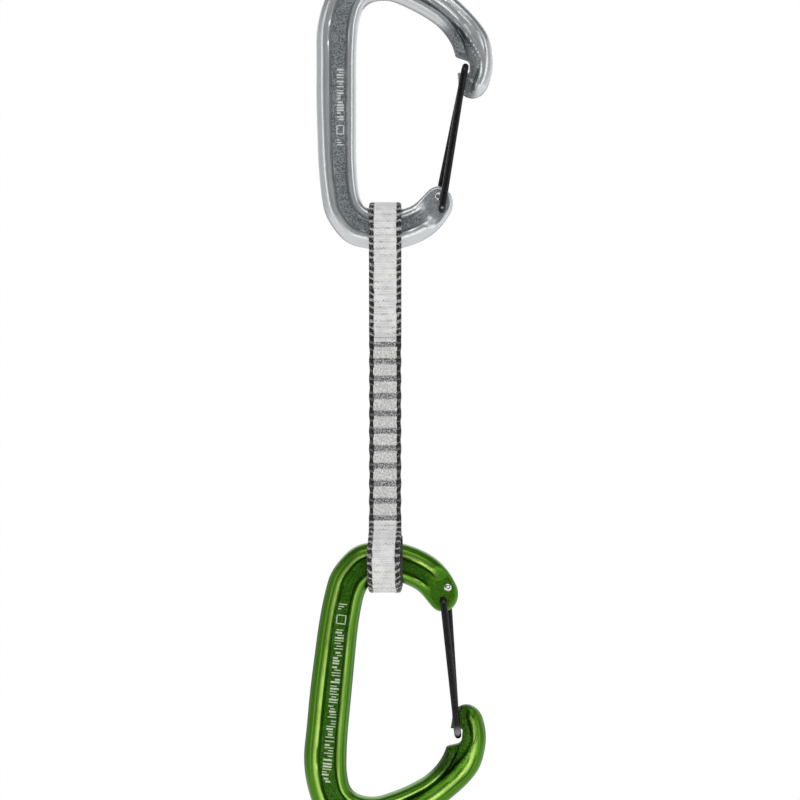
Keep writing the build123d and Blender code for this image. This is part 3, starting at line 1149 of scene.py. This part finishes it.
@dataclass
class SpineMarks:
    """Plain geometric laser marks along a spine's channel, with no lettering."""

    centre_x: float
    top_z: float
    bottom_z: float
    width: float
    side: Side
    seed: int = 3
    pitch: float = 1.5
    floor_y: float = 2.45
    proud: float = 0.05
    stroke: float = 0.32
    step_gap: float = 0.75
    step_shares: tuple[float, ...] = (1.0, 0.7, 0.4)
    steps_above: float = 0.7
    frame_high: float = 2.6
    frame_below: float = 4.0
    bars_below: float = 7.2
    bar_shares: tuple[float, ...] = (0.55, 0.75, 1.0, 1.0)
    bar_heights: tuple[float, ...] = (0.3, 0.3, 0.55)
    bar_gaps: tuple[float, ...] = (0.55, 0.55, 0.8)

    def plate(self, x: float, z: float, wide: float, high: float) -> bpy.types.Mesh:
        """One thin mark, as a slim box.

        Args:
            x: Place of its middle across the spine.
            z: Place of its middle along the spine.
            wide: Its width.
            high: Its height.

        Returns:
            The mark's mesh.
        """
        bm = bmesh.new()
        bmesh.ops.create_cube(bm, size=1.0)
        size = Matrix.Diagonal((wide * MM, self.proud * 2.0 * MM, high * MM, 1.0))
        middle = Vector((x * MM, self.side.value * self.floor_y * MM, z * MM))
        bm.transform(Matrix.Translation(middle) @ size)
        return finished(bm, "mark")

    def stepped_bars(self, z: float) -> list[bpy.types.Mesh]:
        """Three parallel bars, each shorter than the last, flush on one side.

        Args:
            z: Height of the first bar.

        Returns:
            The bars' meshes.
        """
        bars = []
        for k, share in enumerate(self.step_shares):
            x = self.centre_x - self.width * (1.0 - share) / 2.0
            bars.append(self.plate(x, z - self.step_gap * k, self.width * share, self.stroke))
        return bars

    def frame_mark(self, z: float) -> list[bpy.types.Mesh]:
        """A small open rectangle.

        Args:
            z: Height of its middle.

        Returns:
            The meshes of its four strokes.
        """
        x, w, h, stroke = self.centre_x, self.width, self.frame_high, self.stroke
        return [
            self.plate(x, z + h / 2, w, stroke), self.plate(x, z - h / 2, w, stroke),
            self.plate(x - w / 2, z, stroke, h + stroke), self.plate(x + w / 2, z, stroke, h + stroke),
        ]

    def mesh(self, name: str) -> bpy.types.Mesh:
        """All marks of one spine: stepped bars, frame and a run of plain bars.

        Args:
            name: Name of the mesh.

        Returns:
            The marks as one mesh.
        """
        draw = random.Random(self.seed)
        marks = self.stepped_bars(self.top_z + self.steps_above)
        marks += self.frame_mark(self.top_z - self.frame_below)
        z = self.top_z - self.bars_below
        while z > self.bottom_z:
            wide = self.width * draw.choice(self.bar_shares)
            high = draw.choice(self.bar_heights)
            shift = draw.choice((-1, 0, 1)) * (self.width - wide) / 2.0
            marks.append(self.plate(self.centre_x + shift, z, wide, high))
            z -= self.pitch * draw.choice(self.bar_gaps)
        return joined(name, marks)


# ---------------------------------------------------------------- one carabiner


@dataclass
class Carabiner:
    """One carabiner with its gate, placed in the draw's frame."""

    name: str
    placed: Matrix
    finish: AnodisedForging
    slot: str
    mark: LaserMark
    marks: SpineMarks
    gate: Gate = field(default_factory=Gate)

    def put(self, mesh: bpy.types.Mesh) -> bpy.types.Mesh:
        """Moves a mesh from the carabiner's own frame to the draw's.

        Args:
            mesh: The mesh to move.

        Returns:
            The same mesh.
        """
        mesh.transform(self.placed)
        mesh.update()
        return mesh

    def build(self, blank: bpy.types.Mesh, wire: bpy.types.Material, steel: bpy.types.Material) -> None:
        """Makes the body, its marks, the gate wire, its two stubs and its two peened heads.

        Args:
            blank: The forged body, which both carabiners share.
            wire: Finish of the wire.
            steel: Finish of the peened heads.
        """
        body = f"{self.name}_carabiner"
        shell = blank.copy()
        shell.name = f"{self.name}_forged_body"
        piece = shown(self.put(shell), self.finish.material(), 32.0)
        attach(piece, body)
        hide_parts(f"{self.name}_carabiner_body")
        report(piece)

        marks = shown(self.put(self.marks.mesh(f"{self.name}_laser_marks")), self.mark.material())
        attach(marks, body)
        report(marks)

        loop = shown(self.put(self.gate.wire(f"{self.name}_bent_wire")), wire)
        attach(loop, f"{self.name}_gate")
        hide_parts(f"{self.name}_gate_wire")
        report(loop)

        for end, at, side in (("a", self.gate.leg_a, Side.PLUS), ("b", self.gate.leg_b, Side.MINUS)):
            stub = shown(self.put(self.gate.stub(f"{self.name}_wire_stub_{end}", at, side)), wire)
            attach(stub, body)
            report(stub)

        for end, at, side in (("a", self.gate.leg_a, Side.MINUS), ("b", self.gate.leg_b, Side.PLUS)):
            head = shown(self.put(self.gate.head(f"{self.name}_peened_head_{end}", at, side)), steel)
            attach(head, body)
            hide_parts(f"{self.name}_gate_hinge_end_{end}")
            report(head)


# ---------------------------------------------------------------- sling


@dataclass
class Sling:
    """Sewn webbing: one strip in two loops, its bar tacks and the rubber keeper."""

    width: float = 10.0
    ply: float = 1.6
    middle_half_t: float = 0.66
    edge_half_t: float = 0.70
    selvedge_from: float = 3.4
    selvedge_w: float = 1.6
    cord_pitch: float = 1.2
    cord_slant: float = 2.0
    upper_z: float = UPPER_Z
    upper_bar_above: float = 6.5
    lower_bar_below: float = 95.6
    seam_top_below: float = 26.2
    seam_end_below: float = 83.3
    first_tack_below: float = 31.5
    upper_r: float = 8.0
    lower_r: float = 8.95
    upper_bend: float = 12.0
    lower_bend: float = 4.0
    tacks: int = 10
    tack_pitch: float = 5.36
    tack_w: float = 7.0
    tack_h: float = 3.5
    row_pitch: float = 0.52
    row_lift: float = 0.045
    along: int = 2500
    around: int = 30
    shear: float = 0.45
    waist: float = 0.022
    sewn_past: float = 0.62
    sewn_half_w: float = 3.7
    sewn_fade: tuple[float, float] = (0.3, 0.2)
    thread_r: float = 0.125
    stitch_layers: tuple[tuple[float, float], ...] = ((0.36, 0.10), (0.27, 0.24))
    keeper_r: tuple[float, float] = (7.0, 8.1)
    keeper_x: tuple[float, float] = (-3.3, 5.4)
    keeper_ripple: float = 0.04

    def __post_init__(self) -> None:
        """Works out the heights of bars and seam."""
        self.upper_bar = self.upper_z + self.upper_bar_above
        self.lower_bar = self.upper_z - self.lower_bar_below
        self.seam_top = self.upper_z - self.seam_top_below
        self.seam_end = self.upper_z - self.seam_end_below
        self.first_tack = self.upper_z - self.first_tack_below

    def half_loop(
        self, offset: float, side: int, seam: float, bar: float, bend: float, loop: float,
    ) -> np.ndarray:
        """Points from the seam's end to the far point of a loop, in the YZ plane.

        Args:
            offset: Distance of the ply from the middle of the seam.
            side: The side that the ply bends to.
            seam: Height of the seam's end.
            bar: Height of the loop's centre.
            bend: Radius of the bend out of the seam.
            loop: Radius of the loop.

        Returns:
            Points y, z.
        """
        away = 1.0 if bar > seam else -1.0
        rise, out = abs(bar - seam), offset + bend
        angle = math.atan2(rise, out) - math.acos((loop + bend) / math.hypot(out, rise))
        first = np.linspace(0.0, angle, 24)
        bend_y = side * (out - bend * np.cos(first))
        bend_z = seam + away * bend * np.sin(first)
        turn = np.linspace(angle, -math.pi / 2, 90)
        loop_y = side * loop * np.cos(turn)
        loop_z = bar - away * loop * np.sin(turn)
        return np.vstack([np.column_stack([bend_y, bend_z]), np.column_stack([loop_y, loop_z])])

    def route(self) -> np.ndarray:
        """Centre line of the strip from its front tail to its hidden tail.

        Returns:
            Evenly spaced points y, z.
        """
        low = self.half_loop(self.ply, -1, self.seam_end, self.lower_bar, self.lower_bend, self.lower_r)
        low_back = self.half_loop(self.ply, 1, self.seam_end, self.lower_bar, self.lower_bend, self.lower_r)
        top_back = self.half_loop(self.ply, 1, self.seam_top, self.upper_bar, self.upper_bend, self.upper_r)
        top = self.half_loop(0.0, -1, self.seam_top, self.upper_bar, self.upper_bend, self.upper_r)
        line = np.vstack([
            [(-self.ply, self.seam_top - 1.0)], low, low_back[-2::-1], top_back, top[-2::-1],
            [(0.0, self.seam_end + 1.0)],
        ])
        keep = np.concatenate([[True], np.linalg.norm(np.diff(line, axis=0), axis=1) > 1e-6])
        return evened(line[keep], self.along + 1)

    def strip(self) -> bpy.types.Mesh:
        """The woven strip, with weft rows and raised selvedges in its surface.

        Returns:
            The strip's mesh, with its pattern coordinates and its sewn stretches stored.
        """
        line = self.route()
        ahead = np.gradient(line, axis=0)
        ahead /= np.linalg.norm(ahead, axis=1)[:, None]
        normal = np.column_stack([-ahead[:, 1], ahead[:, 0]])
        run = np.concatenate([[0.0], np.cumsum(np.linalg.norm(np.diff(line, axis=0), axis=1))])
        LOG.info("strip length %.1f mm", run[-1])
        half = self.around // 2
        even = np.linspace(-1.0, 1.0, half + 1)
        places = self.width / 2.0 * (0.6 * np.sin(even * math.pi / 2.0) + 0.4 * even)

        def place(i: np.ndarray, j: np.ndarray) -> np.ndarray:
            """Front face on the way out and back face on the way back.

            Args:
                i: Steps around the section.
                j: Steps along the strip.

            Returns:
                Places in millimetres.
            """
            step = np.where(i <= half, i, 2 * half - i)
            side = np.where(i <= half, 1.0, -1.0)
            x = places[step]
            in_middle = np.abs(x) < self.selvedge_from
            edge = np.clip((np.abs(x) - self.selvedge_from) / self.selvedge_w, 0.0, 1.0)
            close = np.sqrt(np.clip(1.0 - edge ** 4, 0.0, 1.0))
            rows = np.cos(2.0 * math.pi * run[j] / self.row_pitch)
            cords = np.cos(2.0 * math.pi * run[j] / self.cord_pitch + self.cord_slant * x)
            lift = np.where(in_middle, self.row_lift * rows, 0.5 * self.row_lift * cords)
            level = np.where(in_middle, self.middle_half_t, self.edge_half_t)
            height = side * (level + lift) * close
            y = line[j, 0] + height * normal[j, 0]
            z = line[j, 1] + height * normal[j, 1]
            low = smooth_step(self.seam_end - 1.0, self.lower_bar + 4.0, z)
            in_seam = smooth_step(self.seam_end, self.seam_end + 2.0, z)
            in_seam *= 1.0 - smooth_step(self.seam_top - 2.0, self.seam_top, z)
            waist = np.cos(2.0 * math.pi * (z - self.first_tack) / self.tack_pitch)
            x = x * (1.0 - self.waist * in_seam * (1.0 + waist))
            return np.column_stack([x + self.shear * low * y / self.lower_r, y, z])

        def pattern(i: np.ndarray, j: np.ndarray) -> np.ndarray:
            """Millimetres across from the middle and along from the tail."""
            step = np.where(i <= half, i, 2 * half - i)
            return np.column_stack([places[step], run[j]])

        mesh = wrapped_grid("woven_strip", 2 * half, self.along, place, pattern, capped=True)
        co = coordinates(mesh) / MM
        # Sewn stretches between the tacks, darkened by the finish as squeezed weave and painted shade.
        number = (self.first_tack - co[:, 2]) / self.tack_pitch
        between = np.abs(number - np.rint(number)) * self.tack_pitch
        in_run = (number > -self.sewn_past) & (number < self.tacks - 1 + self.sewn_past)
        inside = in_run & (np.abs(co[:, 0]) < self.sewn_half_w)
        low, high = self.sewn_fade
        sewn = smooth_step(self.tack_h / 2 - low, self.tack_h / 2 + high, between) * inside
        seam = (co[:, 2] < self.seam_top) & (co[:, 2] > self.seam_end)
        store(mesh, sewn=sewn, seam=seam)
        return mesh

    def zigzag(
        self, middle_z: float, face: int, pitch: float, depth: float, draw: random.Random,
    ) -> bpy.types.Mesh:
        """One layer of zigzag stitches on a face of the seam.

        Args:
            middle_z: Height of the tack's middle.
            face: -1 for the front and 1 for the back.
            pitch: Distance between stitches.
            depth: How far the layer's thread stands off the tape.
            draw: Source of the small irregularities.

        Returns:
            The thread's mesh.
        """
        base = self.ply + self.middle_half_t
        route = []
        count = round(self.tack_w / pitch)
        for k in range(count + 1):
            x = (k / count - 0.5) * self.tack_w + draw.uniform(-0.05, 0.05)
            reach = self.tack_h / 2 + draw.uniform(-0.32, 0.22)
            z_way = reach if k % 2 else -reach
            arch = depth + draw.uniform(-0.02, 0.03)
            last_x = route[-1][0] if route else x
            route += [
                (last_x + (x - last_x) * 0.3, face * (base + arch), middle_z - z_way * 0.45),
                (last_x + (x - last_x) * 0.7, face * (base + arch), middle_z + z_way * 0.45),
                (x, face * (base + 0.4 * arch), middle_z + z_way * 0.9),
                (x + 0.02, face * (base - 0.05), middle_z + z_way),
            ]
        return tube("thread", np.array(route), self.thread_r, 6)

    def tack(self, number: int) -> bpy.types.Mesh:
        """One bar tack: two crossed layers of thread on both faces.

        Args:
            number: The tack's number from the top, starting at 0.

        Returns:
            The tack's mesh.
        """
        draw = random.Random(100 + number)
        middle_z = self.first_tack - number * self.tack_pitch
        layers = [
            self.zigzag(middle_z, face, pitch, depth, draw)
            for face in (-1, 1) for pitch, depth in self.stitch_layers
        ]
        return joined(f"tack_stitches_{number + 1:02d}", layers)

    def keeper(self) -> bpy.types.Mesh:
        """Rubber band around the lower bar, with rounded lips.

        Returns:
            The band's mesh.
        """
        (inner, outer), (x0, x1) = self.keeper_r, self.keeper_x
        middle, reach, lip = (inner + outer) / 2, (outer - inner) / 2, 12
        half = (x1 - x0) / 2.0
        angles = np.linspace(0.0, 2.0 * math.pi, 4 * lip + 1)
        across = np.sign(np.cos(angles)) * np.abs(np.cos(angles)) ** 0.25 * half + (x0 + x1) / 2
        radius = middle + np.sign(np.sin(angles)) * np.abs(np.sin(angles)) ** 0.6 * reach
        turns = 120

        def place(i: np.ndarray, j: np.ndarray) -> np.ndarray:
            """The lip's section turned about the bar.

            Args:
                i: Steps around the section.
                j: Steps around the bar.

            Returns:
                Places in millimetres.
            """
            angle = 2.0 * math.pi * j / turns
            ripple = self.keeper_ripple * np.cos(3.0 * angle)
            far = radius[i] - np.abs(ripple)
            return np.column_stack([across[i], far * np.sin(angle), self.lower_bar + far * np.cos(angle)])

        return wrapped_grid("keeper_band", 4 * lip, turns, place)

    def build(self) -> None:
        """Makes the strip, the tacks and the keeper, and rides them on the sling."""
        strip = shown(self.strip(), WovenTape().material(), 60.0)
        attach(strip, "sling")
        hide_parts("sling_webbing")
        report(strip)
        thread = TackThread().material()
        for number in range(self.tacks):
            tack = shown(self.tack(number), thread, 80.0)
            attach(tack, "sling")
            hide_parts(f"bartack_{number + 1:02d}")
            report(tack)
        band = shown(self.keeper(), KeeperRubber().material(), 50.0)
        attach(band, "sling")
        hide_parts("rubber_keeper")
        report(band)


# ---------------------------------------------------------------- studio


@dataclass(frozen=True)
class SoftLight:
    """One rectangular soft light: place and size in metres, power in watts."""

    name: str
    place: Point
    size: tuple[float, float]
    power: float


LIGHTS = (
    SoftLight("top_soft", (0.05, -0.55, 0.75), (1.1, 0.5), 4.2),
    SoftLight("right_soft", (0.95, -0.45, -0.05), (0.35, 1.1), 3.0),
    SoftLight("left_soft", (-0.95, -0.35, 0.05), (0.30, 1.0), 2.2),
    SoftLight("low_soft", (0.1, -0.75, -0.38), (0.9, 0.10), 0.9),
    SoftLight("rear_soft", (0.0, 0.9, 0.35), (1.2, 0.7), 4.0),
    SoftLight("rear_left_soft", (-0.85, 0.55, -0.12), (0.9, 1.1), 1.4),
    SoftLight("rear_right_soft", (0.85, 0.55, -0.12), (0.9, 1.1), 2.4),
)


@dataclass
class Studio:
    """Camera, soft lights, pale floor and a plain pale surround, in metres."""

    target: Point = (0.00456, 0.0, -0.12442)
    distance: float = 0.80
    elevation_deg: float = -3.14
    frame_width: float = 0.24655
    sensor: float = 36.0
    floor_z: float = -0.47
    floor_r: float = 1.3
    shell_r: float = 4.0
    aim: Point = (0.0, 0.0, -0.125)
    dim: float = 0.21

    def camera(self) -> None:
        """Places the camera, which looks a little upwards."""
        data = bpy.data.cameras.new("view")
        data.sensor_width = self.sensor
        data.lens = self.sensor * self.distance / self.frame_width
        data.clip_start, data.clip_end = 0.01, 20.0
        camera = bpy.data.objects.new("view", data)
        angle = math.radians(self.elevation_deg)
        back = Vector((0.0, -math.cos(angle), math.sin(angle)))
        camera.location = Vector(self.target) + back * self.distance
        camera.rotation_mode = "QUATERNION"
        camera.rotation_quaternion = (-back).to_track_quat("-Z", "Y")
        bpy.context.scene.collection.objects.link(camera)
        bpy.context.scene.camera = camera

    def light(self, lamp: SoftLight) -> None:
        """Places a soft light that faces the draw.

        Args:
            lamp: The light to place.
        """
        data = bpy.data.lights.new(lamp.name, "AREA")
        data.shape = "RECTANGLE"
        data.size, data.size_y = lamp.size
        data.energy = lamp.power
        placed = bpy.data.objects.new(lamp.name, data)
        placed.location = lamp.place
        way = Vector(self.aim) - Vector(lamp.place)
        placed.rotation_mode = "QUATERNION"
        placed.rotation_quaternion = way.to_track_quat("-Z", "Y")
        placed.visible_camera = False
        bpy.context.scene.collection.objects.link(placed)

    def lights(self) -> None:
        """Places the soft lights and a dim surround."""
        for lamp in LIGHTS:
            self.light(lamp)
        world = bpy.data.worlds.new("room")
        world.use_nodes = True
        background = world.node_tree.nodes["Background"]
        background.inputs[0].default_value = (0.80, 0.82, 0.84, 1.0)
        background.inputs[1].default_value = self.dim
        bpy.context.scene.world = world
        bpy.context.scene.view_settings.view_transform = "Standard"

    def plain(self, name: str, colour: Colour, glow: float) -> bpy.types.Material:
        """A matt material that also glows.

        Args:
            name: Name of the material.
            colour: Its base colour.
            glow: Strength of its white glow.

        Returns:
            The material.
        """
        s = Shading(name)
        s.feed(s.shader, {"Base Color": colour, "Roughness": 0.9, "Specular IOR Level": 0.1,
                          "Emission Color": (1.0, 1.0, 1.0), "Emission Strength": glow})
        return s.material

    def surround(self) -> None:
        """Pale floor below the draw and a pale shell that only the camera sees."""
        bm = bmesh.new()
        bmesh.ops.create_circle(bm, cap_ends=True, segments=96, radius=self.floor_r,
                                matrix=Matrix.Translation((0.0, 0.0, self.floor_z)))
        floor = shown(finished(bm, "floor"), self.plain("pale_floor", (0.14, 0.14, 0.14), 0.83))
        bm = bmesh.new()
        bmesh.ops.create_icosphere(bm, subdivisions=4, radius=self.shell_r)
        bmesh.ops.reverse_faces(bm, faces=bm.faces)
        shell = shown(finished(bm, "shell"), self.plain("pale_shell", (0.0, 0.0, 0.0), 1.0))
        shell.visible_glossy = shell.visible_diffuse = False
        shell.visible_transmission = shell.visible_shadow = False


def main() -> None:
    """Builds the studio, then the draw from the top down."""
    logging.basicConfig(level=logging.INFO, format="%(name)s %(message)s")
    studio = Studio()
    studio.camera()
    studio.lights()
    studio.surround()
    lower_drop, lower_x, lean = 89.3, 2.95, 5.4
    over = Matrix.Translation((0, 0, UPPER_Z * MM)) @ Matrix.Rotation(math.pi, 4, "X")
    hung = Matrix.Translation((lower_x * MM, 0, (UPPER_Z - lower_drop) * MM))
    under = hung @ Matrix.Rotation(math.radians(lean), 4, "Y")
    forging = CarabinerBody()
    blank = forging.mesh()
    wire = CoatedWire().material()
    steel = PeenedSteel().material()
    upper_marks = SpineMarks(centre_x=-13.9, top_z=-33.5, bottom_z=-56.5, width=2.1, side=Side.PLUS)
    lower_marks = SpineMarks(centre_x=-14.05, top_z=-21.5, bottom_z=-76.0, width=2.7, side=Side.MINUS, seed=8)
    upper = Carabiner("upper", over, SILVER, "silver_anodised",
                      LaserMark("silver_laser_mark", (0.92, 0.93, 0.93)), upper_marks)
    lower = Carabiner("lower", under, GREEN, "green_anodised",
                      LaserMark("green_laser_mark", (0.80, 0.93, 0.68)), lower_marks,
                      Gate(elbow_rub=0.12, toe_rub=0.6))
    upper.build(blank, wire, steel)
    lower.build(blank, wire, steel)
    Sling().build()


if __name__ == "__main__":
    main()
